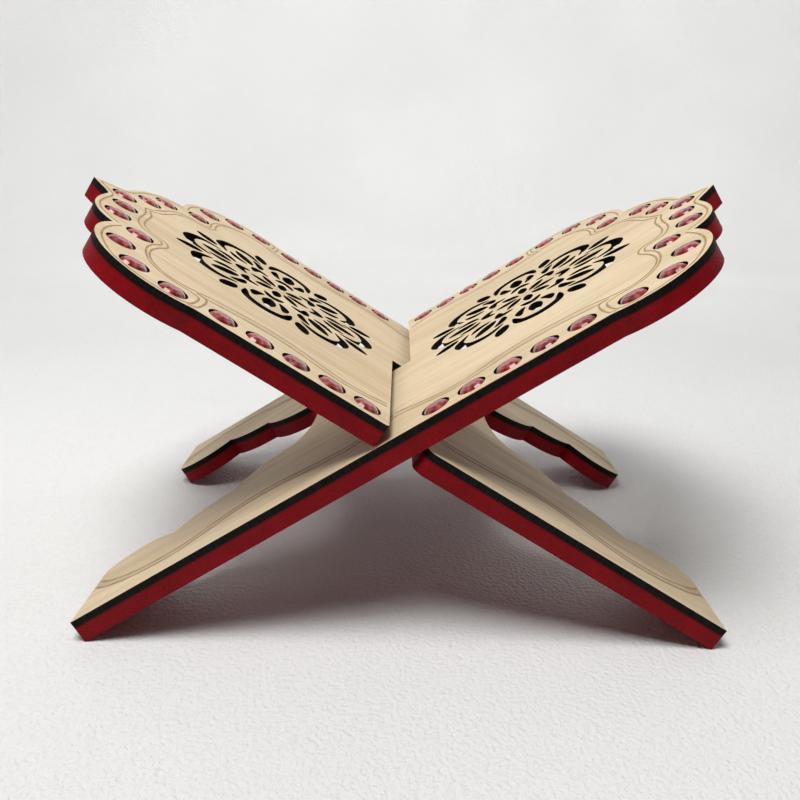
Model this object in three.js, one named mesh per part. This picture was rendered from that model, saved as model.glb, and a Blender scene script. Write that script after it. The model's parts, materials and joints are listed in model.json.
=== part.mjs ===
// A two-board folding reading stand: two equal boards, each a thin pale face sheet on a
// thicker red board, lock through each other's slots and stand as an X. Round domed gems sit
// in holes round both leaves, and a pierced oval medallion fills the middle of each leaf.
// Units are millimetres, +Z is up, the reader is on the -Y side.
// The origin is on the floor, under the middle of the stand.

import * as THREE from 'three';

// ---- Driving dimensions ----
const WIDTH = 200;              // board width, front edge to rear edge
const LEG = 152;                // crossing centre to the foot end
const LEAF = 176;               // crossing centre to the leaf's pointed tip
const FACE = 3;                 // pale face sheet thickness
const GAP = 0.3;                // glue line between face sheet and red board
const BACK = 6.8;               // red board thickness
const THICK = FACE + GAP + BACK;
const SLOPE = THREE.MathUtils.degToRad(31.8);   // slope of each board when open

// Halving slot
const SLOT_HALF = 8.4;          // half of the slot's length along the board
const SLOT_CLEAR = 0.35;        // the two slot ends stop this far past the middle
const MOUTH_LEAF = 2;           // round on the slot's mouth, leaf side
const MOUTH_LEG = 5;            // round on the slot's mouth, leg side

// Leaf end: a large round lobe at each corner, a small lobe, and a central ogee point
const LOBE_X = 106;
const LOBE_Y = 62.8;
const LOBE_R = 39.5;
const CUSP = new THREE.Vector2(144.5, 53.4);
const NOTCH = new THREE.Vector2(163, 13.6);

// Scalloped arch between the two legs of one board
const FOOT_INNER = 60;          // half of the opening at the foot end
const ARCH_CUSPS = [[-115.3, 59.8], [-86.4, 47.3], [-58.5, 28.4]];
const ARCH_SAGS = [6.6, 3.4, 4];
const ARCH_RISE = 11.3;         // from the last cusp to the top of the arch
const FOOT_ROUND = 2.5;

// Window in the red board, behind the pierced part of the face
const WINDOW = [[15, 66], [118, 66], [118, 35], [136, 35]];
const WINDOW_ROUND = 7;

// Gems and their holes
const HOLE_R = 6.2;
const GEM_R = 5.5;
const GEM_RISE = 1.2;           // dome top above the face
const GEM_SHOULDER = -0.5;      // the gem's edge lies this far below the face
const HOLE_SIDES = 16;
const GEM_SIDES = 12;
const ROW_FIRST = 18.6;
const ROW_STEP = 16;
const ROW_Y = 90.6;
const LOBE_GEMS = [[103.3, 93.2], [120.8, 89.6], [133, 72.8], [133.3, 49.2], [148.8, 36.2], [152.4, 17.8]];
const TIP_GEM = [159.5, 0];

// Medallion: one eighth, repeated round its middle. A stroke has pointed ends and runs through
// points of [radius, degrees from the eighth's middle line]; a paired one also has its mirror image.
const MEDALLION_AT = 74;        // distance of the medallion's middle from the crossing
const MEDALLION_STRETCH = 1.12; // the oval's length over its width
const EIGHTHS = 8;
const EIGHTH = [
  { half: 2.3, through: [[3.8, 0], [9, 0], [14.5, 0]] },                           // petal
  { half: 2.3, through: [[16.4, -17], [20, 0], [16.4, 17]] },                      // small bow
  { half: 3.2, through: [[24, 0], [31, 0], [39, 0]] },                             // middle leaf
  { half: 2.1, through: [[23, 9.4], [28.2, 14], [34.4, 12]], paired: true },       // side leaf
  { half: 2.8, through: [[33, -19], [42, -11.4], [45, 0], [42, 11.4], [33, 19]] }, // large bow
  { half: 3.1, through: [[37.5, 22.5], [43.5, 22.5], [50, 22.5]] },                // outer leaf
];
const STROKE_STEPS = 2;         // steps along each stretch between two stroke points
const STROKE_TAPER = 0.6;       // lower is blunter

const PALE = new THREE.MeshStandardMaterial({ color: 0xdcc49b, roughness: 0.6, metalness: 0 });
const RED = new THREE.MeshStandardMaterial({ color: 0x7a0d14, roughness: 0.45, metalness: 0 });
const JEWEL = new THREE.MeshStandardMaterial({ color: 0x9c1020, roughness: 0.08, metalness: 0 });

// ---- Outline helpers, all in the board's own plane: x along the board, y across it ----

const point = (x, y) => new THREE.Vector2(x, y);
const mirrored = (points) => points.map((p) => point(p.x, -p.y)).reverse();

function arcPoints(cx, cy, r, from, to, steps) {
  const points = [];
  for (let i = 0; i <= steps; i++) {
    const a = from + (to - from) * i / steps;
    points.push(point(cx + r * Math.cos(a), cy + r * Math.sin(a)));
  }
  return points;
}

// Arc from a to b that bulges by sag to the left of the way from a to b.
function bulgePoints(a, b, sag, steps) {
  const half = a.distanceTo(b) / 2;
  const r = (half * half + sag * sag) / (2 * sag);
  const along = b.clone().sub(a).normalize();
  const left = point(-along.y, along.x);
  const centre = a.clone().add(b).multiplyScalar(0.5).addScaledVector(left, sag - r);
  const from = Math.atan2(a.y - centre.y, a.x - centre.x);
  const sweep = 2 * Math.asin(half / r);
  return arcPoints(centre.x, centre.y, r, from, from - sweep, steps);
}

function cubicPoints(a, c1, c2, b, steps) {
  return new THREE.CubicBezierCurve(a, c1, c2, b).getPoints(steps);
}

// Rear half of the leaf's end, from the straight edge to the point on the centreline.
function leafEnd() {
  const from = Math.PI - Math.asin((WIDTH / 2 - LOBE_Y) / LOBE_R);
  const to = Math.atan2(CUSP.y - LOBE_Y, CUSP.x - LOBE_X);
  const large = arcPoints(LOBE_X, LOBE_Y, LOBE_R, from, to, 22);
  const small = cubicPoints(CUSP, point(160, 48.6), point(162.6, 29), NOTCH, 9);
  const tip = cubicPoints(NOTCH, point(163.6, 9.6), point(169.5, 7), point(LEAF, 0), 7);
  return [...large.slice(0, -1), ...small.slice(0, -1), ...tip];
}

// Rear half of the leg's end, from the arch's top on the centreline to the outer foot corner.
function legEnd() {
  const cusps = ARCH_CUSPS.map(([x, y]) => point(x, y));
  const last = cusps[2];
  const points = [];
  for (let i = 0; i < 8; i++) {
    const a = Math.PI / 2 * i / 8;
    points.push(point(last.x + ARCH_RISE * Math.cos(a), last.y * Math.sin(a)));
  }
  const foot = point(-LEG, FOOT_INNER);
  points.push(...bulgePoints(cusps[2], cusps[1], ARCH_SAGS[2], 7).slice(0, -1));
  points.push(...bulgePoints(cusps[1], cusps[0], ARCH_SAGS[1], 7).slice(0, -1));
  points.push(...bulgePoints(cusps[0], foot, ARCH_SAGS[0], 9).slice(0, -1));
  points.push(point(-LEG + FOOT_ROUND * 0.25, FOOT_INNER + 0.6));
  points.push(point(-LEG, FOOT_INNER + FOOT_ROUND));
  points.push(point(-LEG, WIDTH / 2));
  return points;
}

// Slot in the rear half, from its leg-side mouth round to its leaf-side mouth.
function slotOutline() {
  const edge = WIDTH / 2;
  const leg = arcPoints(-SLOT_HALF - MOUTH_LEG, edge - MOUTH_LEG, MOUTH_LEG, Math.PI / 2, 0, 5);
  const leaf = arcPoints(SLOT_HALF + MOUTH_LEAF, edge - MOUTH_LEAF, MOUTH_LEAF, Math.PI, Math.PI / 2, 4);
  return [...leg, point(-SLOT_HALF, -SLOT_CLEAR), point(SLOT_HALF, -SLOT_CLEAR), ...leaf];
}

function boardOutline() {
  const rearLeaf = leafEnd();
  const rearLeg = legEnd();
  const rear = [...rearLeg, ...slotOutline(), ...rearLeaf];
  return [...rear, ...mirrored(rearLeaf).slice(1), ...mirrored(rearLeg).slice(0, -1)].reverse();
}

// ---- Openings ----

function gemPlaces() {
  const places = [];
  for (const side of [-1, 1]) {
    for (let i = 0; i < 5; i++) places.push([ROW_FIRST + ROW_STEP * i, side * ROW_Y]);
    for (const [x, y] of LOBE_GEMS) places.push([x, side * y]);
  }
  places.push(TIP_GEM);
  return places;
}

function holeOutline([x, y]) {
  return arcPoints(x, y, HOLE_R, 0, 2 * Math.PI, HOLE_SIDES).slice(0, -1);
}

// Stroke with pointed ends: offsets both ways from a smooth line through its points.
function strokeOutline({ half, through }) {
  const ends = through.map(([r, degrees]) => {
    const a = THREE.MathUtils.degToRad(degrees);
    return new THREE.Vector3(r * Math.cos(a), r * Math.sin(a), 0);
  });
  const line = new THREE.CatmullRomCurve3(ends, false, 'centripetal');
  const steps = STROKE_STEPS * (ends.length - 1) + 2;
  const right = [];
  const left = [];
  for (let i = 1; i < steps; i++) {
    const t = i / steps;
    const at = line.getPoint(t);
    const along = line.getTangent(t);
    const w = half * Math.pow(Math.sin(Math.PI * t), STROKE_TAPER);
    right.push(point(at.x + along.y * w, at.y - along.x * w));
    left.push(point(at.x - along.y * w, at.y + along.x * w));
  }
  const [first, last] = [ends[0], ends[ends.length - 1]];
  return [point(first.x, first.y), ...right, point(last.x, last.y), ...left.reverse()];
}

function medallionOutlines() {
  const eighth = EIGHTH.map(strokeOutline);
  EIGHTH.forEach(({ paired }, i) => {
    if (paired) eighth.push(mirrored(eighth[i]));
  });
  const outlines = [];
  const middle = point(0, 0);
  for (let i = 0; i < EIGHTHS; i++) {
    const turn = 2 * Math.PI * i / EIGHTHS;
    for (const stroke of eighth) {
      const turned = stroke.map((p) => p.clone().rotateAround(middle, turn));
      outlines.push(turned.map((p) => point(MEDALLION_AT + MEDALLION_STRETCH * p.x, p.y)));
    }
  }
  return outlines;
}

function windowOutline() {
  const r = WINDOW_ROUND;
  const half = [];
  const [a, b, c, d] = WINDOW.map(([x, y]) => point(x, y));
  half.push(...arcPoints(a.x + r, a.y - r, r, Math.PI, Math.PI / 2, 5));
  half.push(...arcPoints(b.x - r, b.y - r, r, Math.PI / 2, 0, 5));
  half.push(...arcPoints(c.x + r, c.y + r, r, Math.PI, 1.5 * Math.PI, 5));
  half.push(...arcPoints(d.x - r, d.y - r, r, Math.PI / 2, 0, 5));
  return [...half, ...mirrored(half)];
}

// ---- Solids, built flat: z is the board's thickness, with 0 in the middle ----

function plate(outline, openings, bottom, thickness) {
  const shape = new THREE.Shape(outline);
  for (const opening of openings) shape.holes.push(new THREE.Path(opening));
  const geometry = new THREE.ExtrudeGeometry(shape, { depth: thickness, bevelEnabled: false });
  return geometry.translate(0, 0, bottom);
}

function redBoard() {
  return plate(boardOutline(), [windowOutline()], -THICK / 2, BACK);
}

function faceSheet() {
  const openings = [...gemPlaces().map(holeOutline), ...medallionOutlines()];
  return plate(boardOutline(), openings, THICK / 2 - FACE, FACE);
}

// Domed gem: a short drum with a low dome of three rings.
function gem() {
  const profile = [point(0, -FACE), point(GEM_R, -FACE), point(GEM_R, GEM_SHOULDER)];
  for (const f of [0.82, 0.5]) {
    profile.push(point(GEM_R * f, GEM_SHOULDER + (GEM_RISE - GEM_SHOULDER) * (1 - f * f)));
  }
  profile.push(point(0, GEM_RISE));
  return new THREE.LatheGeometry(profile, GEM_SIDES).rotateX(Math.PI / 2);
}

function named(name, geometry, material) {
  const mesh = new THREE.Mesh(geometry, material.clone());
  mesh.name = name;
  return mesh;
}

// One whole board, lying flat about the crossing centre.
function board(side) {
  const group = new THREE.Group();
  group.add(named(`${side}_red_board`, redBoard(), RED));
  group.add(named(`${side}_face_sheet`, faceSheet(), PALE));
  gemPlaces().forEach(([x, y], i) => {
    const mesh = named(`${side}_gem_${String(i + 1).padStart(2, '0')}`, gem(), JEWEL);
    mesh.position.set(x, y, THICK / 2);
    group.add(mesh);
  });
  return group;
}

// ---- The stand ----

const stand = new THREE.Group();
const crossingHeight = LEG * Math.sin(SLOPE) + THICK / 2 * Math.cos(SLOPE);

// The first board's leaf rises to the right; its slot opens at the rear.
const rightLeaf = board('right');
rightLeaf.rotation.y = -SLOPE;
rightLeaf.position.z = crossingHeight;

// The second is the same board turned half round; its slot opens at the front.
const leftLeaf = board('left');
leftLeaf.rotation.y = -SLOPE;
const turnedRound = new THREE.Group();
turnedRound.rotation.z = Math.PI;
turnedRound.position.z = crossingHeight;
turnedRound.add(leftLeaf);

stand.add(rightLeaf, turnedRound);

export default stand;
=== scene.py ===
"""A two-board folding reading stand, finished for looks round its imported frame."""

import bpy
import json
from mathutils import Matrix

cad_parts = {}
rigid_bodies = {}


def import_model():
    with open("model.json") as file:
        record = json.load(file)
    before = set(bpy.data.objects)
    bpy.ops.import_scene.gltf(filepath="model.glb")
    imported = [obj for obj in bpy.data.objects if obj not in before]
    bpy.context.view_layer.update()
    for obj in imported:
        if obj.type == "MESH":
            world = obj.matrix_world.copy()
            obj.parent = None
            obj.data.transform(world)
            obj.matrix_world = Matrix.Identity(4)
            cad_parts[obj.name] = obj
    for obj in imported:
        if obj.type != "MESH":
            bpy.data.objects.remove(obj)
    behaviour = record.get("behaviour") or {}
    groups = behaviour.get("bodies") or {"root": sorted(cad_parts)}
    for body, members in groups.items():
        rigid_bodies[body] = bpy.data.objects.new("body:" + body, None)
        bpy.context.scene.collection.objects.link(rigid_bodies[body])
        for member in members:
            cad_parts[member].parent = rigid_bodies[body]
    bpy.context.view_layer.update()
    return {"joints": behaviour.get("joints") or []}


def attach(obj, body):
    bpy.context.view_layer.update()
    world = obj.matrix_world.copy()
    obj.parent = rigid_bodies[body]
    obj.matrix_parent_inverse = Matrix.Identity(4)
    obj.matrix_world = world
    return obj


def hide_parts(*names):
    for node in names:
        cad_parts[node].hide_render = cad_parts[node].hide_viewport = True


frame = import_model()

import json
import math

import bmesh
import bpy
from mathutils import Matrix, Vector

bl_info = {
    "name": "Folding Book Stand",
    "version": (1, 0, 0),
    "blender": (4, 5, 0),
    "location": "View3D > Sidebar > Book Stand",
    "description": "Builds the plywood sheets, red boards, engraving and gems of a folding stand",
    "category": "Add Mesh",
}

MM = 0.001
FOLD = frame["joints"][0]
CROSSING = Vector(FOLD["pos_m"])
SIDES = ("right", "left")
BODY = {"right": FOLD["parent"], "left": FOLD["child"]}

# Flat shapes are in millimetres in a board's own plane: x runs from the crossing to the leaf's
# tip, y across the board, both from the middle of the crossing.

LOBE_CENTRE = (106, 62.8)
LOBE_RADIUS = 39.5
LOBE_STEPS = 60
LOBE_CUSP = (144.5, 53.4)
SMALL_LOBE = ((160, 48.6), (162.6, 29))     # handles of the curve from the cusp to the tip's notch
SMALL_LOBE_STEPS = 30
TIP_NOTCH = (163, 13.6)
TIP_SIDE = ((163.6, 9.6), (169.5, 7))       # handles of the curve from the notch to the tip
TIP_STEPS = 14

ARCH_CUSPS = ((-115.3, 59.8), (-86.4, 47.3), (-58.5, 28.4))
ARCH_SAGS = (6.6, 3.4, 4)
ARCH_STEPS = (26, 20, 20)
ARCH_RISE = 11.3
ARCH_TOP_STEPS = 20
FOOT_INNER = 60
FOOT_ROUND = 2.5
FOOT_EASE = (0.625, 0.6)                    # middle point of the foot's eased inner corner

MOUTH_LEG_STEPS = 12
MOUTH_LEAF_STEPS = 8
WINDOW = ((15, 66), (118, 66), (118, 35), (136, 35))
WINDOW_ROUND = 7
WINDOW_STEPS = 12
WALL_MARGIN = 1                             # a wall this near the window's box is a window wall
BOARD_CLEAR = 0.02                          # gap between a red board and its sheet

GEM_ROW = (18.6, 16, 5, 90.6)
LOBE_GEMS = ((103.3, 93.2), (120.8, 89.6), (133, 72.8), (133.3, 49.2), (148.8, 36.2), (152.4, 17.8))
TIP_GEM = (159.5, 0)
HOLE_STEPS = 48
GEM_BASE = 0.1                              # height of a gem's base over the sheet's underside
GEM_BASE_SHARE = 0.94                       # the base's radius as a share of the girdle's
GEM_BASE_CHAMFER = 0.5
CROWN_LEAN = 1.8                            # how much nearer the girdle than the table the crown breaks
CROWN_SHARE = 0.45                          # height of that break as a share of the rise
GEM_TURN = 0.37                             # each gem is turned this many radians past the last
WELD = 1e-6
SLIVER = 1e-7

# One eighth of the pierced medallion: half width, whether it also has its mirror image, and
# points of (radius, degrees from the eighth's middle line).
MEDALLION_AT = 74
MEDALLION_STRETCH = 1.12
EIGHTHS = 8
EIGHTH = (
    (2.3, False, (3.8, 0), (9, 0), (14.5, 0)),
    (2.3, False, (16.4, -17), (20, 0), (16.4, 17)),
    (3.2, False, (24, 0), (31, 0), (39, 0)),
    (2.1, True, (23, 9.4), (28.2, 14), (34.4, 12)),
    (2.8, False, (33, -19), (42, -11.4), (45, 0), (42, 11.4), (33, 19)),
    (3.1, False, (37.5, 22.5), (43.5, 22.5), (50, 22.5)),
)
STROKE_TAPER = 0.6
STROKE_STEPS = 10

# Engraved lines on a board's slotted half, where they stop clear of the slot. The solid half has
# their mirror image, which runs on to the crossing.
LINE_STEPS = 8
FOOT_CLEAR = 1                              # the leg lines stop this far short of the foot
WAVE_MEETS = 91                             # the toned ground between the two waves ends here
WAVE_INNER = (
    (0, 70), (10, 73.8), (20, 77.4), (30, 78.2), (40, 76.2), (50, 73.2), (60, 71.5), (70, 71.7),
    (80, 73.4), (90, 75.6), (97, 78.5), (103, 80.4), (110, 80), (116, 76.6), (121, 70.4), (123.6, 62),
    (123.6, 52.5), (122, 43.5), (124, 38.6), (128, 35.8), (133, 35), (137, 31.8), (139.5, 25.7),
    (140.8, 18), (142.3, 8), (146, 0),
)
WAVE_OUTER = (
    (0, 75), (10, 77.6), (20, 80.8), (30, 81.9), (40, 80.6), (50, 78.1), (60, 76.5), (70, 76.6),
    (80, 78), (90, 80.3), (97, 80.4),
)
HOOK_INNER = ((95.4, 99), (92.4, 97), (91.6, 93.4), (91.5, 85.2), (92.6, 81.6), (97, 80.2))
HOOK_OUTER = (
    (98.4, 99.3), (95.6, 97.6), (94.4, 93.8), (94.3, 87), (95.4, 84), (99, 83), (107, 82.6), (113, 80.9),
    (119, 76), (123.5, 68.5), (126.2, 59), (126.2, 51), (124.8, 44.2), (126.6, 39.8),
    (131, 38.1), (136.5, 36.4), (140.6, 31), (143, 23.7), (144.3, 14), (146.2, 5.5), (148.5, 0),
)
LOBE_EDGE = (
    (98.4, 99.5), (103.3, 100.6), (109, 100.4), (115, 99.4), (122, 97.2), (126, 95.2), (129.6, 92.4),
    (135, 85.8), (139.4, 78), (141.7, 69.5), (142.2, 61), (141, 51.8),
)
SMALL_EDGE = (
    (143, 50.2), (149, 47.6), (154.2, 42.8), (157.6, 36.4), (159.4, 28), (160.2, 20), (160.9, 13),
    (163, 8.4), (167, 4.8), (172.4, 0),
)
LEG_BAND = (
    (-152, 71), (-145, 76.6), (-135, 81.5), (-125, 84.5), (-115, 85.8), (-107, 85.8), (-97, 83.5),
    (-87, 79.8), (-77, 76.3), (-66, 74.7), (-56, 75.3), (-44, 77.8), (-32, 79.8), (-22, 80.2),
    (-11, 78.2), (0, 73.5),
)

# Grain and mottling, in noise scales per metre: along a board, across it and through it.
GRAIN_BROAD = (7, 60, 60)
GRAIN_FINE = (26, 640, 640)
GRAIN_PORES = (150, 3200, 3200)
CHAR_STREAK = (900, 900, 90)
PAINT_CLOUD = (60, 60, 60)
PAINT_FIBRE = (700, 1100, 1400)
LINE_GRAIN = (120, 420, 420)
GEM_CLOUD = (150, 150, 150)
PAPER_SKIN = 520.0
PAPER_WAVES = 3.2
SOOTED = 0.4                                # shade of the red paint where the soot is deepest
FOIL_WEDGES = 6.0                           # light and dark pairs round a gem's foil

# The stage, in metres: the reader sits on the side of negative y.
FLOOR_FRONT = -4
FLOOR_REAR = 1.1
SWEEP_RADIUS = 0.6
SWEEP_STEPS = 24
BACKDROP_TOP = 2.4
BACKDROP_HALF = 5
KEY_LIGHT = ((-0.20, -0.36, 1.2), (0, 0, 0.05), 0.55, 0.55)     # place, aim, width, height
WALL_LIGHT = ((0, 0.75, 1.5), (0, 1.7, 0.9), 5, 0.3)
FLOOR_LIGHT = ((0, -1.7, 1.4), (0, -3.3, 0.2), 5, 0.3)
DIM_FROM = -0.9                             # the sky is dimmest below this y of its direction
DIM_TO = 0.1                                # and brightest above this one
CAMERA_AT = (-0.0011, -0.3798, 0.1910)
CAMERA_SHIFT = (0.0008, -0.0676)
SENSOR_WIDTH = 36


# ---- settings ----


def length(name, what, value):
    return bpy.props.FloatProperty(
        name=name, description=what, default=value, min=0, precision=5, unit="LENGTH"
    )


def colour(name, what, value):
    return bpy.props.FloatVectorProperty(
        name=name, description=what, default=value, size=3, min=0, max=1, subtype="COLOR"
    )


def angle(name, what, degrees):
    return bpy.props.FloatProperty(
        name=name, description=what, default=math.radians(degrees), subtype="ANGLE"
    )


def power(name, what, value):
    return bpy.props.FloatProperty(name=name, description=what, default=value, unit="POWER")


def share(name, what, value):
    return bpy.props.FloatProperty(name=name, description=what, default=value)


class StandBoard(bpy.types.PropertyGroup):
    """Sizes of one board."""

    width: length("Board width", "Front edge to rear edge", 0.2)
    leg: length("Leg length", "Crossing to the foot end", 0.152)
    leaf: length("Leaf length", "Crossing to the leaf's pointed tip", 0.176)
    sheet: length("Face sheet", "Thickness of the pale face sheet", 0.003)
    glue: length("Glue line", "Gap between face sheet and red board", 0.0003)
    back: length("Red board", "Thickness of the red board", 0.0068)
    slope: angle("Slope", "Slope of each board when open", 31.8)
    slot: length("Slot", "Length of the halving slot along the board", 0.0168)
    slot_stop: length("Slot stop", "How far the slot runs past the middle", 0.00035)
    mouth_leaf: length("Leaf-side mouth", "Round on the slot's mouth, leaf side", 0.002)
    mouth_leg: length("Leg-side mouth", "Round on the slot's mouth, leg side", 0.005)


class StandGem(bpy.types.PropertyGroup):
    """Sizes of the gems and their holes."""

    hole: length("Hole radius", "Radius of a gem's hole in the face sheet", 0.0062)
    radius: length("Gem radius", "Radius of a gem at its girdle", 0.0054)
    table: length("Gem table", "Radius of a gem's flat top", 0.0025)
    rise: length("Gem rise", "Height of a gem's crown above the sheet", 0.0011)
    seat: length("Gem seat", "Depth of a gem's girdle below the sheet", 0.0006)
    sides: bpy.props.IntProperty(
        name="Gem sides", description="Facets round a gem", default=12, min=6, max=64
    )


class StandEngraving(bpy.types.PropertyGroup):
    """Sizes of the engraved lines."""

    line: length("Line width", "Width of an engraved line", 0.00095)
    leg_line: length("Leg line width", "Width of a line on the legs", 0.0013)
    leg_gap: length("Leg line gap", "Distance between the two lines on a leg", 0.004)
    lift: length("Line lift", "Height of the burnt lines over the sheet", 0.00004)
    depth: length("Line depth", "How far the burnt lines reach into the sheet", 0.0003)
    band_tone: bpy.props.FloatProperty(
        name="Band tone", description="Shade of the ground between two lines", default=0.85,
        min=0, max=1,
    )


class StandFinish(bpy.types.PropertyGroup):
    """Colours of the finishes."""

    ply_pale: colour("Pale grain", "Lighter colour of the plywood", (0.675, 0.545, 0.36))
    ply_dark: colour("Dark grain", "Darker colour of the plywood", (0.55, 0.415, 0.25))
    burnt: colour("Burnt edge", "Colour of the heat-cut plywood edges", (0.0042, 0.003, 0.003))
    engraved: colour("Engraving", "Colour of the engraved lines", (0.30, 0.195, 0.095))
    red: colour("Red paint", "Colour of the painted board", (0.26, 0.0035, 0.008))
    red_dark: colour("Red shade", "Darker mottling of the red paint", (0.18, 0.002, 0.005))
    soot: length("Soot", "How far soot reaches down the red edge", 0.0009)
    gem: colour("Gem", "Body colour of the gems", (0.31, 0.007, 0.012))


class StandStage(bpy.types.PropertyGroup):
    """Floor, light and camera."""

    backdrop: colour("Backdrop", "Colour of floor and backdrop", (0.785, 0.782, 0.772))
    key: power("Key light", "Power of the main light", 15.4)
    wall: power("Wall light", "Power of the backdrop's light", 38)
    floor: power("Floor light", "Power of the light on the floor behind the reader", 45)
    sky: share("Sky", "Strength of the even light all round", 0.21)
    front: share("Front", "Share of the sky's strength in front", 0.25)
    focal: bpy.props.FloatProperty(
        name="Focal length", description="Camera focal length", default=35.25, unit="CAMERA"
    )
    pitch: angle("Pitch", "Downward tilt of the camera", 13.37)
    roll: angle("Roll", "Turn of the camera about its own axis", 0.72)


# ---- flat outlines ----


def arc(cx, cy, radius, start, end, steps):
    """Points on a circle from one angle to another."""
    turns = [start + (end - start) * i / steps for i in range(steps + 1)]
    return [(cx + radius * math.cos(a), cy + radius * math.sin(a)) for a in turns]


def bulge(a, b, sag, steps):
    """Arc from a to b that bulges by sag to the left of the way from a to b."""
    a, b = Vector(a), Vector(b)
    half = (b - a).length / 2
    radius = (half * half + sag * sag) / (2 * sag)
    along = (b - a).normalized()
    centre = (a + b) / 2 + Vector((-along.y, along.x)) * (sag - radius)
    start = math.atan2(a.y - centre.y, a.x - centre.x)
    return arc(centre.x, centre.y, radius, start, start - 2 * math.asin(half / radius), steps)


def cubic(a, b, c, d, steps):
    """Curve from a to d with handles b and c."""
    out = []
    for i in range(steps + 1):
        t = i / steps
        k = ((1 - t) ** 3, 3 * t * (1 - t) ** 2, 3 * t * t * (1 - t), t ** 3)
        out.append(tuple(k[0] * a[j] + k[1] * b[j] + k[2] * c[j] + k[3] * d[j] for j in (0, 1)))
    return out


def smooth(points, steps):
    """Centripetal curve through the points."""
    ends = [Vector(p) for p in points]
    ends = [2 * ends[0] - ends[1], *ends, 2 * ends[-1] - ends[-2]]
    out = []
    for p0, p1, p2, p3 in zip(ends, ends[1:], ends[2:], ends[3:]):
        t0 = 0
        t1 = t0 + max((p1 - p0).length, 1e-6) ** 0.5
        t2 = t1 + max((p2 - p1).length, 1e-6) ** 0.5
        t3 = t2 + max((p3 - p2).length, 1e-6) ** 0.5
        for i in range(steps):
            t = t1 + (t2 - t1) * i / steps
            a1 = p0 * ((t1 - t) / (t1 - t0)) + p1 * ((t - t0) / (t1 - t0))
            a2 = p1 * ((t2 - t) / (t2 - t1)) + p2 * ((t - t1) / (t2 - t1))
            a3 = p2 * ((t3 - t) / (t3 - t2)) + p3 * ((t - t2) / (t3 - t2))
            b1 = a1 * ((t2 - t) / (t2 - t0)) + a2 * ((t - t0) / (t2 - t0))
            b2 = a2 * ((t3 - t) / (t3 - t1)) + a3 * ((t - t1) / (t3 - t1))
            out.append(b1 * ((t2 - t) / (t2 - t1)) + b2 * ((t - t1) / (t2 - t1)))
    return [tuple(p) for p in [*out, ends[-2]]]


def mirrored(points):
    return [(x, -y) for x, y in reversed(points)]


def leaf_end(board):
    """Half the leaf's edge, from the straight side round the lobes to the tip."""
    edge = board.width / MM / 2
    cx, cy = LOBE_CENTRE
    start = math.pi - math.asin((edge - cy) / LOBE_RADIUS)
    end = math.atan2(LOBE_CUSP[1] - cy, LOBE_CUSP[0] - cx)
    tip = (board.leaf / MM, 0)
    return [
        *arc(cx, cy, LOBE_RADIUS, start, end, LOBE_STEPS)[:-1],
        *cubic(LOBE_CUSP, *SMALL_LOBE, TIP_NOTCH, SMALL_LOBE_STEPS)[:-1],
        *cubic(TIP_NOTCH, *TIP_SIDE, tip, TIP_STEPS),
    ]


def leg_end(board):
    """Half the legs' edge, from the top of the arch between them to the foot's outer corner."""
    foot, edge = -board.leg / MM, board.width / MM / 2
    x, y = ARCH_CUSPS[2]
    turns = [math.pi * i / (2 * ARCH_TOP_STEPS) for i in range(ARCH_TOP_STEPS)]
    top = [(x + ARCH_RISE * math.cos(turn), y * math.sin(turn)) for turn in turns]
    return [
        *top,
        *bulge(ARCH_CUSPS[2], ARCH_CUSPS[1], ARCH_SAGS[2], ARCH_STEPS[2])[:-1],
        *bulge(ARCH_CUSPS[1], ARCH_CUSPS[0], ARCH_SAGS[1], ARCH_STEPS[1])[:-1],
        *bulge(ARCH_CUSPS[0], (foot, FOOT_INNER), ARCH_SAGS[0], ARCH_STEPS[0])[:-1],
        (foot + FOOT_EASE[0], FOOT_INNER + FOOT_EASE[1]),
        (foot, FOOT_INNER + FOOT_ROUND),
        (foot, edge),
    ]


def slot_mouth(board):
    """The slot's edge, with rounded corners where it opens at the board's side."""
    edge, half, stop = board.width / MM / 2, board.slot / MM / 2, -board.slot_stop / MM
    leg, leaf = board.mouth_leg / MM, board.mouth_leaf / MM
    return [
        *arc(-half - leg, edge - leg, leg, math.pi / 2, 0, MOUTH_LEG_STEPS),
        (-half, stop),
        (half, stop),
        *arc(half + leaf, edge - leaf, leaf, math.pi, math.pi / 2, MOUTH_LEAF_STEPS),
    ]


def board_outline(board):
    leaf, leg = leaf_end(board), leg_end(board)
    rear = [*leg, *slot_mouth(board), *leaf]
    return [*rear, *mirrored(leaf)[1:], *mirrored(leg)[:-1]][::-1]


def window_outline():
    """The opening in a red board behind the medallion, narrower towards the tip."""
    r, steps = WINDOW_ROUND, WINDOW_STEPS
    (ax, ay), (bx, by), (cx, cy), (dx, dy) = WINDOW
    half = [
        *arc(ax + r, ay - r, r, math.pi, math.pi / 2, steps),
        *arc(bx - r, by - r, r, math.pi / 2, 0, steps),
        *arc(cx + r, cy + r, r, math.pi, 1.5 * math.pi, steps),
        *arc(dx - r, dy - r, r, math.pi / 2, 0, steps),
    ]
    return [*half, *mirrored(half)]


def gem_places():
    first, step, count, row = GEM_ROW
    half = [(first + step * i, row) for i in range(count)] + list(LOBE_GEMS)
    return [(x, -y) for x, y in half] + half + [TIP_GEM]


def stroke_outline(half, points):
    """Stroke with pointed ends: offsets both ways from a smooth line."""
    ends = [(r * math.cos(math.radians(d)), r * math.sin(math.radians(d))) for r, d in points]
    line = smooth(ends, STROKE_STEPS)
    count = len(line) - 1
    right, left = [], []
    for i in range(1, count):
        (ax, ay), (bx, by) = line[i - 1], line[i + 1]
        along = Vector((bx - ax, by - ay)).normalized()
        w = half * math.sin(math.pi * i / count) ** STROKE_TAPER
        x, y = line[i]
        right.append((x + along.y * w, y - along.x * w))
        left.append((x - along.y * w, y + along.x * w))
    return [line[0], *right, line[-1], *reversed(left)]


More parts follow.
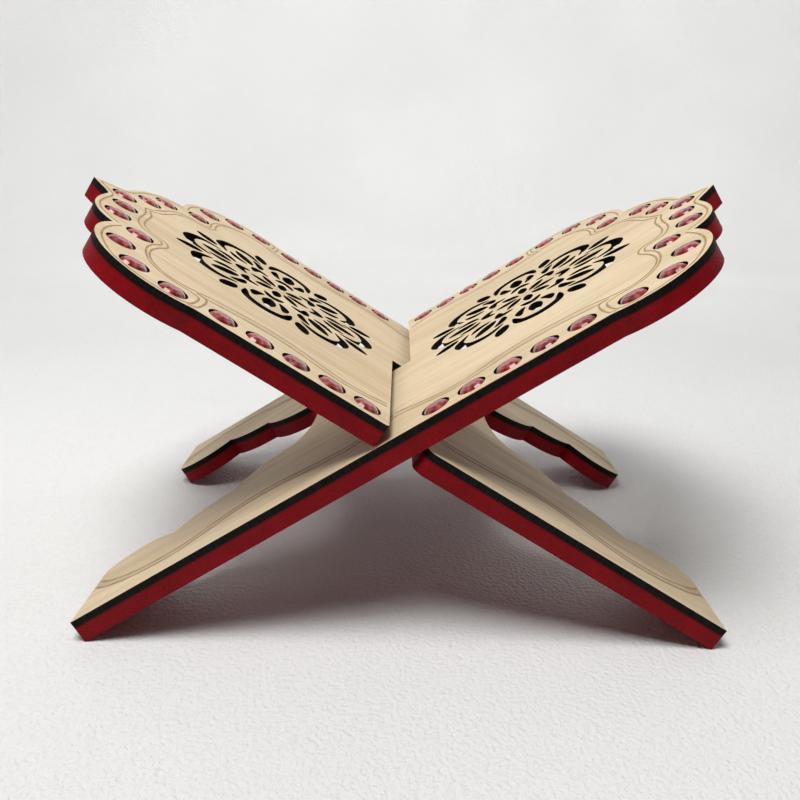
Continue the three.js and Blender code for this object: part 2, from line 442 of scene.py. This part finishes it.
def medallion_outlines():
    """One eighth of the medallion, turned eight times and stretched along the leaf."""
    eighth = []
    for half, paired, *points in EIGHTH:
        outline = stroke_outline(half, points)
        eighth += [outline, mirrored(outline)] if paired else [outline]
    outlines = []
    for i in range(EIGHTHS):
        c, s = math.cos(2 * math.pi * i / EIGHTHS), math.sin(2 * math.pi * i / EIGHTHS)
        for outline in eighth:
            turned = [(x * c - y * s, x * s + y * c) for x, y in outline]
            outlines.append([(MEDALLION_AT + MEDALLION_STRETCH * x, y) for x, y in turned])
    return outlines


# ---- making pieces ----


def board_place(side, board):
    """Where a flat board goes: tilted about the crossing, and the left one turned half round."""
    tilt = Matrix.Rotation(-board.slope, 4, "Y")
    turn = Matrix.Rotation(math.pi, 4, "Z") if side == "left" else Matrix.Identity(4)
    return Matrix.Translation(CROSSING) @ turn @ tilt


def add_loop(bm, points, height):
    verts = [bm.verts.new((x * MM, y * MM, height)) for x, y in points]
    return [bm.edges.new(pair) for pair in zip(verts, verts[1:] + verts[:1])]


def flat_plate(outlines, low, high):
    """Plate with holes between two heights in the board's own plane."""
    bm = bmesh.new()
    edges = [e for points in outlines for e in add_loop(bm, points, low)]
    bmesh.ops.triangle_fill(bm, use_beauty=True, use_dissolve=False, edges=edges, normal=(0, 0, 1))
    raised = bmesh.ops.extrude_face_region(bm, geom=bm.faces[:], use_keep_orig=True)
    top = [v for v in raised["geom"] if isinstance(v, bmesh.types.BMVert)]
    bmesh.ops.translate(bm, verts=top, vec=(0, 0, high - low))
    bmesh.ops.recalc_face_normals(bm, faces=bm.faces[:])
    return bm


def finish_piece(name, bm, side, materials, board, replaced=()):
    """Keeps the flat place as an attribute, tilts the mesh into the stand and ties it to its board."""
    plan = bm.verts.layers.float_vector.new("plan")
    for v in bm.verts:
        v[plan] = v.co
    bmesh.ops.transform(bm, matrix=board_place(side, board), verts=bm.verts[:])
    mesh = bpy.data.meshes.new(name)
    bm.to_mesh(mesh)
    bm.free()
    for material in materials:
        mesh.materials.append(material)
    piece = bpy.data.objects.new(name, mesh)
    bpy.context.scene.collection.objects.link(piece)
    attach(piece, BODY[side])
    if replaced:
        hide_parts(*replaced)


# ---- materials ----


def new_material(name):
    material = bpy.data.materials.new(name)
    material.use_nodes = True
    tree = material.node_tree
    return material, tree, tree.nodes["Principled BSDF"]


def plan_coordinates(tree, scale):
    at = tree.nodes.new("ShaderNodeAttribute")
    at.attribute_name = "plan"
    mapping = tree.nodes.new("ShaderNodeMapping")
    mapping.inputs["Scale"].default_value = scale
    tree.links.new(at.outputs["Vector"], mapping.inputs["Vector"])
    return mapping.outputs["Vector"]


def noise(tree, vector, scale, detail=3.0, roughness=0.55, distortion=0.0):
    node = tree.nodes.new("ShaderNodeTexNoise")
    node.inputs["Scale"].default_value = scale
    node.inputs["Detail"].default_value = detail
    node.inputs["Roughness"].default_value = roughness
    node.inputs["Distortion"].default_value = distortion
    tree.links.new(vector, node.inputs["Vector"])
    return node.outputs["Fac"]


def ramp(tree, value, *stops):
    node = tree.nodes.new("ShaderNodeValToRGB")
    elements = node.color_ramp.elements
    while len(elements) < len(stops):
        elements.new(0.5)
    for element, (position, shade) in zip(elements, stops):
        element.position = position
        element.color = (*shade, 1)
    tree.links.new(value, node.inputs["Fac"])
    return node.outputs["Color"]


def multiply(tree, a, b, amount=1.0):
    node = tree.nodes.new("ShaderNodeMix")
    node.data_type = "RGBA"
    node.blend_type = "MULTIPLY"
    node.inputs["Factor"].default_value = amount
    tree.links.new(a, node.inputs[6])
    tree.links.new(b, node.inputs[7])
    return node.outputs[2]


def bump(tree, shader, height, strength, distance):
    node = tree.nodes.new("ShaderNodeBump")
    node.inputs["Strength"].default_value = strength
    node.inputs["Distance"].default_value = distance
    tree.links.new(height, node.inputs["Height"])
    tree.links.new(node.outputs["Normal"], shader.inputs["Normal"])


def grey(value):
    return (value, value, value)


def plywood(name, finish, tone=1.0):
    """Pale face veneer with fine straight grain along the board."""
    material, tree, shader = new_material(name)
    broad = noise(tree, plan_coordinates(tree, GRAIN_BROAD), 1.0, 2.5, 0.5, 0.6)
    fine = noise(tree, plan_coordinates(tree, GRAIN_FINE), 1.0, 4.0, 0.62, 0.25)
    pores = noise(tree, plan_coordinates(tree, GRAIN_PORES), 1.0, 2.0, 0.5)
    pale = [c * tone for c in finish.ply_pale]
    dark = [c * tone for c in finish.ply_dark]
    base = ramp(tree, broad, (0.30, dark), (0.62, pale))
    streaks = ramp(tree, fine, (0.30, (0.80, 0.765, 0.70)), (0.52, grey(1)), (0.8, (1, 0.985, 0.96)))
    dots = ramp(tree, pores, (0.28, (0.80, 0.74, 0.66)), (0.42, grey(1)))
    colour_out = multiply(tree, multiply(tree, base, streaks, 0.8), dots, 0.6)
    tree.links.new(colour_out, shader.inputs["Base Color"])
    rough = ramp(tree, fine, (0.3, grey(0.68)), (0.7, grey(0.52)))
    tree.links.new(rough, shader.inputs["Roughness"])
    bump(tree, shader, fine, 0.25, 0.0002)
    return material


def burnt_edge(name, finish):
    """Heat-cut edge, near black, with streaks through the sheet's thickness."""
    material, tree, shader = new_material(name)
    streak = noise(tree, plan_coordinates(tree, CHAR_STREAK), 1.0, 3.0)
    dark = [c * 0.45 for c in finish.burnt]
    light = [c * 2.3 for c in finish.burnt]
    tree.links.new(ramp(tree, streak, (0.3, dark), (0.75, light)), shader.inputs["Base Color"])
    tree.links.new(ramp(tree, streak, (0.3, grey(0.75)), (0.7, grey(0.5))), shader.inputs["Roughness"])
    shader.inputs["Specular IOR Level"].default_value = 0.12
    bump(tree, shader, streak, 0.35, 0.0002)
    return material


def red_paint(name, finish, top, soot):
    """Satin paint on fibre board: mottling, roller texture, and soot under the sheet's burnt edge."""
    material, tree, shader = new_material(name)
    cloud = noise(tree, plan_coordinates(tree, PAINT_CLOUD), 1.0, 4.0, 0.6)
    fibre = noise(tree, plan_coordinates(tree, PAINT_FIBRE), 1.0, 3.0, 0.6)
    base = ramp(tree, cloud, (0.3, finish.red_dark), (0.68, finish.red))
    flecks = ramp(tree, fibre, (0.30, (0.66, 0.5, 0.5)), (0.55, grey(1)), (0.8, (1.0, 0.95, 0.95)))
    split = tree.nodes.new("ShaderNodeSeparateXYZ")
    tree.links.new(plan_coordinates(tree, (1, 1, 1)), split.inputs["Vector"])
    rise = tree.nodes.new("ShaderNodeMapRange")
    rise.inputs["From Min"].default_value = top - soot
    rise.inputs["From Max"].default_value = top
    tree.links.new(split.outputs["Z"], rise.inputs["Value"])
    sooted = ramp(tree, rise.outputs["Result"], (0, grey(1)), (1, grey(SOOTED)))
    painted = multiply(tree, base, flecks, 0.8)
    tree.links.new(multiply(tree, painted, sooted), shader.inputs["Base Color"])
    tree.links.new(ramp(tree, fibre, (0.3, grey(0.62)), (0.7, grey(0.40))), shader.inputs["Roughness"])
    shader.inputs["Specular IOR Level"].default_value = 0.11
    bump(tree, shader, fibre, 0.3, 0.0003)
    return material


def engraved_line(name, finish):
    """Shallow heat-engraved line, browner where the grain is soft."""
    material, tree, shader = new_material(name)
    fine = noise(tree, plan_coordinates(tree, LINE_GRAIN), 1.0, 3.0)
    dark = [c * 0.75 for c in finish.engraved]
    light = [min(1, c * 1.5) for c in finish.engraved]
    tree.links.new(ramp(tree, fine, (0.32, dark), (0.7, light)), shader.inputs["Base Color"])
    shader.inputs["Roughness"].default_value = 0.75
    return material


def arithmetic(tree, operation, value, other):
    node = tree.nodes.new("ShaderNodeMath")
    node.operation = operation
    node.inputs[1].default_value = other
    tree.links.new(value, node.inputs[0])
    return node.outputs["Value"]


def gem_glass(name, finish):
    """Polished red stone: foil facets fan out under the crown, with a faint inner cloud."""
    material, tree, shader = new_material(name)
    at = tree.nodes.new("ShaderNodeAttribute")
    at.attribute_name = "cut"
    fan = tree.nodes.new("ShaderNodeTexGradient")
    fan.gradient_type = "RADIAL"
    tree.links.new(at.outputs["Vector"], fan.inputs["Vector"])
    turns = arithmetic(tree, "MULTIPLY", fan.outputs["Fac"], FOIL_WEDGES)
    wedge = arithmetic(tree, "PINGPONG", turns, 0.5)
    deep = [c * 0.5 for c in finish.gem]
    pale = [c + 0.05 for c in finish.gem]
    foil = ramp(tree, wedge, (0.05, deep), (0.25, finish.gem), (0.45, pale))
    cloud = noise(tree, plan_coordinates(tree, GEM_CLOUD), 1.0, 1.0, 0.4)
    shade = ramp(tree, cloud, (0.35, grey(0.55)), (0.6, grey(1)))
    tree.links.new(multiply(tree, foil, shade), shader.inputs["Base Color"])
    shader.inputs["Roughness"].default_value = 0.16
    shader.inputs["IOR"].default_value = 1.45
    shader.inputs["Sheen Weight"].default_value = 0.9
    shader.inputs["Sheen Roughness"].default_value = 0.35
    shader.inputs["Sheen Tint"].default_value = (1, 0.86, 0.86, 1)
    return material


def backdrop_paper(name, stage):
    """White backdrop with a fine embossed skin and a few broad soft waves."""
    material, tree, shader = new_material(name)
    coordinates = tree.nodes.new("ShaderNodeTexCoord").outputs["Object"]
    skin = noise(tree, coordinates, PAPER_SKIN, 2.0, 0.5)
    waves = noise(tree, coordinates, PAPER_WAVES, 2.0, 0.4, 0.3)
    shaded = [c * 0.95 for c in stage.backdrop]
    paper = ramp(tree, waves, (0.3, shaded), (0.7, stage.backdrop))
    tree.links.new(paper, shader.inputs["Base Color"])
    shader.inputs["Roughness"].default_value = 0.85
    shader.inputs["Specular IOR Level"].default_value = 0.2
    bump(tree, shader, skin, 0.8, 0.0016)
    return material


def finish_of(name, maker, *args):
    """The material of this name, made the first time it is asked for."""
    return bpy.data.materials.get(name) or maker(name, *args)


# ---- operators ----


class BOOKSTAND_OT_red_boards(bpy.types.Operator):
    """Makes the two red boards, each with its slot, leg arch and window"""

    bl_idname = "bookstand.red_boards"
    bl_label = "Red Boards"

    def execute(self, context):
        board, finish = context.scene.stand_board, context.scene.stand_finish
        edge = finish_of("burnt_edge", burnt_edge, finish)
        near, far = (WINDOW[0][0] - WALL_MARGIN) * MM, (WINDOW[3][0] + WALL_MARGIN) * MM
        wide = (WINDOW[0][1] + WALL_MARGIN) * MM
        half = (board.sheet + board.glue + board.back) / 2
        top = -half + board.back + board.glue - BOARD_CLEAR * MM
        paint = finish_of("red_paint", red_paint, finish, top, finish.soot)
        for side in SIDES:
            bm = flat_plate([board_outline(board), window_outline()], -half, top)
            for face in bm.faces:
                middle = face.calc_center_median()
                wall = abs(face.normal.z) < 0.5
                inside = near < middle.x < far and abs(middle.y) < wide
                face.material_index = 1 if wall and inside else 0
            name = f"{side}_board"
            finish_piece(name, bm, side, [paint, edge], board, [f"{side}_red_board"])
        return {"FINISHED"}


class BOOKSTAND_OT_face_sheets(bpy.types.Operator):
    """Makes the two pale face sheets, pierced with the medallion and the gem holes"""

    bl_idname = "bookstand.face_sheets"
    bl_label = "Face Sheets"

    def execute(self, context):
        board, gem = context.scene.stand_board, context.scene.stand_gem
        finish = context.scene.stand_finish
        ply = finish_of("plywood", plywood, finish)
        edge = finish_of("burnt_edge", burnt_edge, finish)
        half = (board.sheet + board.glue + board.back) / 2
        round_hole = gem.hole / MM, 0, 2 * math.pi, HOLE_STEPS
        holes = [arc(x, y, *round_hole)[:-1] for x, y in gem_places()]
        for side in SIDES:
            outlines = [board_outline(board), *holes, *medallion_outlines()]
            bm = flat_plate(outlines, half - board.sheet, half)
            for face in bm.faces:
                face.material_index = 0 if abs(face.normal.z) > 0.5 else 1
            name = f"{side}_sheet"
            finish_piece(name, bm, side, [ply, edge], board, [f"{side}_face_sheet"])
        return {"FINISHED"}


def both_halves(points, clear):
    """The line on the board's solid half, and on its slotted half where it clears the slot."""
    return [[(x, -y) for x, y in points], [(x, y) for x, y in points if abs(x) > clear]]


def offset(points, gap):
    """The line through the points, moved sideways by gap."""
    line = [Vector(p) for p in points]
    out = []
    for i, p in enumerate(line):
        along = (line[min(i + 1, len(line) - 1)] - line[max(i - 1, 0)]).normalized()
        out.append(tuple(p + Vector((-along.y, along.x)) * gap))
    return out


def band(bm, one, other, height):
    """Flat strip between two lines."""
    edges = []
    for points in (one, other):
        verts = [bm.verts.new((x * MM, y * MM, height)) for x, y in points]
        edges += [bm.edges.new(pair) for pair in zip(verts, verts[1:])]
    bmesh.ops.bridge_loops(bm, edges=edges)


def ribbon(bm, points, width, height):
    """Flat line along the points."""
    half = width / MM / 2
    band(bm, offset(points, -half), offset(points, half), height)


def sink(bm, depth):
    """Gives flat strips a depth, so that each is a closed body."""
    lowered = bmesh.ops.extrude_face_region(bm, geom=bm.faces[:], use_keep_orig=True)
    low = [v for v in lowered["geom"] if isinstance(v, bmesh.types.BMVert)]
    bmesh.ops.translate(bm, verts=low, vec=(0, 0, -depth))
    bmesh.ops.recalc_face_normals(bm, faces=bm.faces[:])


class BOOKSTAND_OT_engraving(bpy.types.Operator):
    """Engraves the double wave lines on the leaves and the bands on the legs"""

    bl_idname = "bookstand.engraving"
    bl_label = "Engraving"

    def execute(self, context):
        board, cut = context.scene.stand_board, context.scene.stand_engraving
        finish = context.scene.stand_finish
        brown = finish_of("engraved_line", engraved_line, finish)
        toned = finish_of("toned_plywood", plywood, finish, cut.band_tone)
        top = (board.sheet + board.glue + board.back) / 2 + cut.lift
        clear = board.slot / MM / 2 + cut.leg_line / MM
        spread = cut.leg_gap / 2 / MM
        leaf = [WAVE_INNER, WAVE_OUTER, HOOK_INNER, HOOK_OUTER, LOBE_EDGE, SMALL_EDGE]
        foot = FOOT_CLEAR - board.leg / MM
        low, high = (
            [(x, y) for x, y in offset(smooth(LEG_BAND, LINE_STEPS), gap) if x > foot]
            for gap in (-spread, spread)
        )
        inner = [(x, y) for x, y in smooth(WAVE_INNER, LINE_STEPS) if x < WAVE_MEETS]
        outer = [(x, y) for x, y in smooth(WAVE_OUTER, LINE_STEPS) if x < WAVE_MEETS]
        for side in SIDES:
            bm = bmesh.new()
            for points in leaf:
                for half in both_halves(smooth(points, LINE_STEPS), clear):
                    ribbon(bm, half, cut.line, top)
            for points in (low, high):
                for half in both_halves(points, clear):
                    ribbon(bm, half, cut.leg_line, top)
            sink(bm, cut.depth)
            finish_piece(f"{side}_engraving", bm, side, [brown], board)
            bm = bmesh.new()
            for one, other in ((inner, outer), (low, high)):
                for strip in zip(both_halves(one, clear), both_halves(other, clear)):
                    band(bm, *strip, top - cut.lift / 2)
            sink(bm, cut.depth)
            finish_piece(f"{side}_wave_band", bm, side, [toned], board)
        return {"FINISHED"}


def cut_gem(gem, board):
    """Faceted round gem at the origin, its base just over the red board."""
    r, low = gem.radius, -board.sheet + GEM_BASE * MM
    crown = (gem.table + CROWN_LEAN * r) / (1 + CROWN_LEAN)
    profile = [
        (0, low), (r * GEM_BASE_SHARE, low), (r, low + GEM_BASE_CHAMFER * MM), (r, -gem.seat),
        (crown, gem.rise * CROWN_SHARE), (gem.table, gem.rise), (0, gem.rise),
    ]
    bm = bmesh.new()
    verts = [bm.verts.new((x, 0, z)) for x, z in profile]
    edges = [bm.edges.new(pair) for pair in zip(verts, verts[1:])]
    bmesh.ops.spin(
        bm, geom=[*verts, *edges], cent=(0, 0, 0), axis=(0, 0, 1), angle=2 * math.pi,
        steps=gem.sides, use_merge=True,
    )
    bmesh.ops.remove_doubles(bm, verts=bm.verts[:], dist=WELD)
    bmesh.ops.dissolve_degenerate(bm, edges=bm.edges[:], dist=SLIVER)
    bmesh.ops.recalc_face_normals(bm, faces=bm.faces[:])
    cut = bm.verts.layers.float_vector.new("cut")
    for v in bm.verts:
        v[cut] = v.co
    return bm


class BOOKSTAND_OT_gems(bpy.types.Operator):
    """Sets a red gem in every round hole of both leaves"""

    bl_idname = "bookstand.gems"
    bl_label = "Gems"

    def execute(self, context):
        board, gem = context.scene.stand_board, context.scene.stand_gem
        stone = finish_of("gem_stone", gem_glass, context.scene.stand_finish)
        half = (board.sheet + board.glue + board.back) / 2
        for side in SIDES:
            for i, (x, y) in enumerate(gem_places(), 1):
                bm = cut_gem(gem, board)
                turn = Matrix.Rotation(GEM_TURN * i, 4, "Z")
                place = Matrix.Translation((x * MM, y * MM, half)) @ turn
                bmesh.ops.transform(bm, matrix=place, verts=bm.verts[:])
                name = f"{side}_stone_{i:02d}"
                finish_piece(name, bm, side, [stone], board, [f"{side}_gem_{i:02d}"])
        return {"FINISHED"}


def area_light(name, place, aim, width, height, watts):
    """Rectangular lamp at a place, turned to face its aim."""
    light = bpy.data.lights.new(name, "AREA")
    light.shape = "RECTANGLE"
    light.size, light.size_y = width, height
    light.energy = watts
    lamp = bpy.data.objects.new(name, light)
    lamp.location = place
    lamp.rotation_euler = (Vector(aim) - Vector(place)).to_track_quat("-Z", "Y").to_euler()
    bpy.context.scene.collection.objects.link(lamp)


def even_light(stage):
    """Even light all round, dimmer on the reader's side, seen directly as a plain pale ground."""
    world = bpy.data.worlds.new("even_light")
    world.use_nodes = True
    tree = world.node_tree
    split = tree.nodes.new("ShaderNodeSeparateXYZ")
    spread = tree.nodes.new("ShaderNodeMapRange")
    spread.interpolation_type = "SMOOTHSTEP"
    spread.inputs["From Min"].default_value = DIM_FROM
    spread.inputs["From Max"].default_value = DIM_TO
    spread.inputs["To Min"].default_value = stage.sky * stage.front
    spread.inputs["To Max"].default_value = stage.sky
    tree.links.new(tree.nodes.new("ShaderNodeTexCoord").outputs["Generated"], split.inputs["Vector"])
    tree.links.new(split.outputs["Y"], spread.inputs["Value"])
    lit = tree.nodes["Background"]
    lit.inputs["Color"].default_value = (1, 1, 1, 1)
    tree.links.new(spread.outputs["Result"], lit.inputs["Strength"])
    seen = tree.nodes.new("ShaderNodeBackground")
    seen.inputs["Color"].default_value = (*stage.backdrop, 1)
    pick = tree.nodes.new("ShaderNodeMixShader")
    tree.links.new(tree.nodes.new("ShaderNodeLightPath").outputs["Is Camera Ray"], pick.inputs["Fac"])
    tree.links.new(lit.outputs["Background"], pick.inputs[1])
    tree.links.new(seen.outputs["Background"], pick.inputs[2])
    tree.links.new(pick.outputs["Shader"], tree.nodes["World Output"].inputs["Surface"])
    return world


class BOOKSTAND_OT_stage(bpy.types.Operator):
    """Sets up the pale floor and backdrop, the soft lights and the camera"""

    bl_idname = "bookstand.stage"
    bl_label = "Stage"

    def execute(self, context):
        stage = context.scene.stand_stage
        bm = bmesh.new()
        bend = arc(FLOOR_REAR, SWEEP_RADIUS, SWEEP_RADIUS, -math.pi / 2, 0, SWEEP_STEPS)[1:]
        wall = FLOOR_REAR + SWEEP_RADIUS
        profile = [(FLOOR_FRONT, 0), (FLOOR_REAR, 0), *bend, (wall, BACKDROP_TOP)]
        verts = [bm.verts.new((-BACKDROP_HALF, y, z)) for y, z in profile]
        edges = [bm.edges.new(pair) for pair in zip(verts, verts[1:])]
        swept = bmesh.ops.extrude_edge_only(bm, edges=edges)
        moved = [v for v in swept["geom"] if isinstance(v, bmesh.types.BMVert)]
        bmesh.ops.translate(bm, verts=moved, vec=(2 * BACKDROP_HALF, 0, 0))
        bmesh.ops.recalc_face_normals(bm, faces=bm.faces[:])
        if sum(f.normal.z for f in bm.faces) < 0:
            bmesh.ops.reverse_faces(bm, faces=bm.faces[:])
        mesh = bpy.data.meshes.new("backdrop")
        bm.to_mesh(mesh)
        bm.free()
        for polygon in mesh.polygons:
            polygon.use_smooth = True
        mesh.materials.append(finish_of("backdrop_paper", backdrop_paper, stage))
        sweep = bpy.data.objects.new("backdrop", mesh)
        context.scene.collection.objects.link(sweep)

        area_light("key_light", *KEY_LIGHT, stage.key)
        area_light("wall_light", *WALL_LIGHT, stage.wall)
        area_light("floor_light", *FLOOR_LIGHT, stage.floor)
        context.scene.world = even_light(stage)
        context.scene.view_settings.view_transform = "Standard"

        data = bpy.data.cameras.new("camera")
        data.sensor_width = SENSOR_WIDTH
        data.lens = stage.focal
        data.shift_x, data.shift_y = CAMERA_SHIFT
        camera = bpy.data.objects.new("camera", data)
        pitch = Matrix.Rotation(math.pi / 2 - stage.pitch, 4, "X")
        roll = Matrix.Rotation(stage.roll, 4, "Z")
        camera.matrix_world = Matrix.Translation(CAMERA_AT) @ pitch @ roll
        context.scene.collection.objects.link(camera)
        context.scene.camera = camera
        return {"FINISHED"}


class BOOKSTAND_PT_panel(bpy.types.Panel):
    """Lists the stand's pieces"""

    bl_idname = "BOOKSTAND_PT_panel"
    bl_label = "Folding Book Stand"
    bl_space_type = "VIEW_3D"
    bl_region_type = "UI"
    bl_category = "Book Stand"

    def draw(self, context):
        for operator in OPERATORS:
            self.layout.operator(operator.bl_idname)
        for group in GROUPS:
            settings = getattr(context.scene, group)
            box = self.layout.box()
            for name in settings.__annotations__:
                box.prop(settings, name)


OPERATORS = (
    BOOKSTAND_OT_red_boards,
    BOOKSTAND_OT_face_sheets,
    BOOKSTAND_OT_engraving,
    BOOKSTAND_OT_gems,
    BOOKSTAND_OT_stage,
)
GROUPS = {
    "stand_board": StandBoard,
    "stand_gem": StandGem,
    "stand_engraving": StandEngraving,
    "stand_finish": StandFinish,
    "stand_stage": StandStage,
}


def register():
    for cls in (*GROUPS.values(), *OPERATORS, BOOKSTAND_PT_panel):
        bpy.utils.register_class(cls)
    for name, group in GROUPS.items():
        setattr(bpy.types.Scene, name, bpy.props.PointerProperty(type=group))


def unregister():
    for name in GROUPS:
        delattr(bpy.types.Scene, name)
    for cls in (BOOKSTAND_PT_panel, *reversed(OPERATORS), *reversed(GROUPS.values())):
        bpy.utils.unregister_class(cls)


def main():
    register()
    bpy.ops.bookstand.red_boards()
    bpy.ops.bookstand.face_sheets()
    bpy.ops.bookstand.engraving()
    bpy.ops.bookstand.gems()
    bpy.ops.bookstand.stage()


if __name__ == "__main__":
    main()
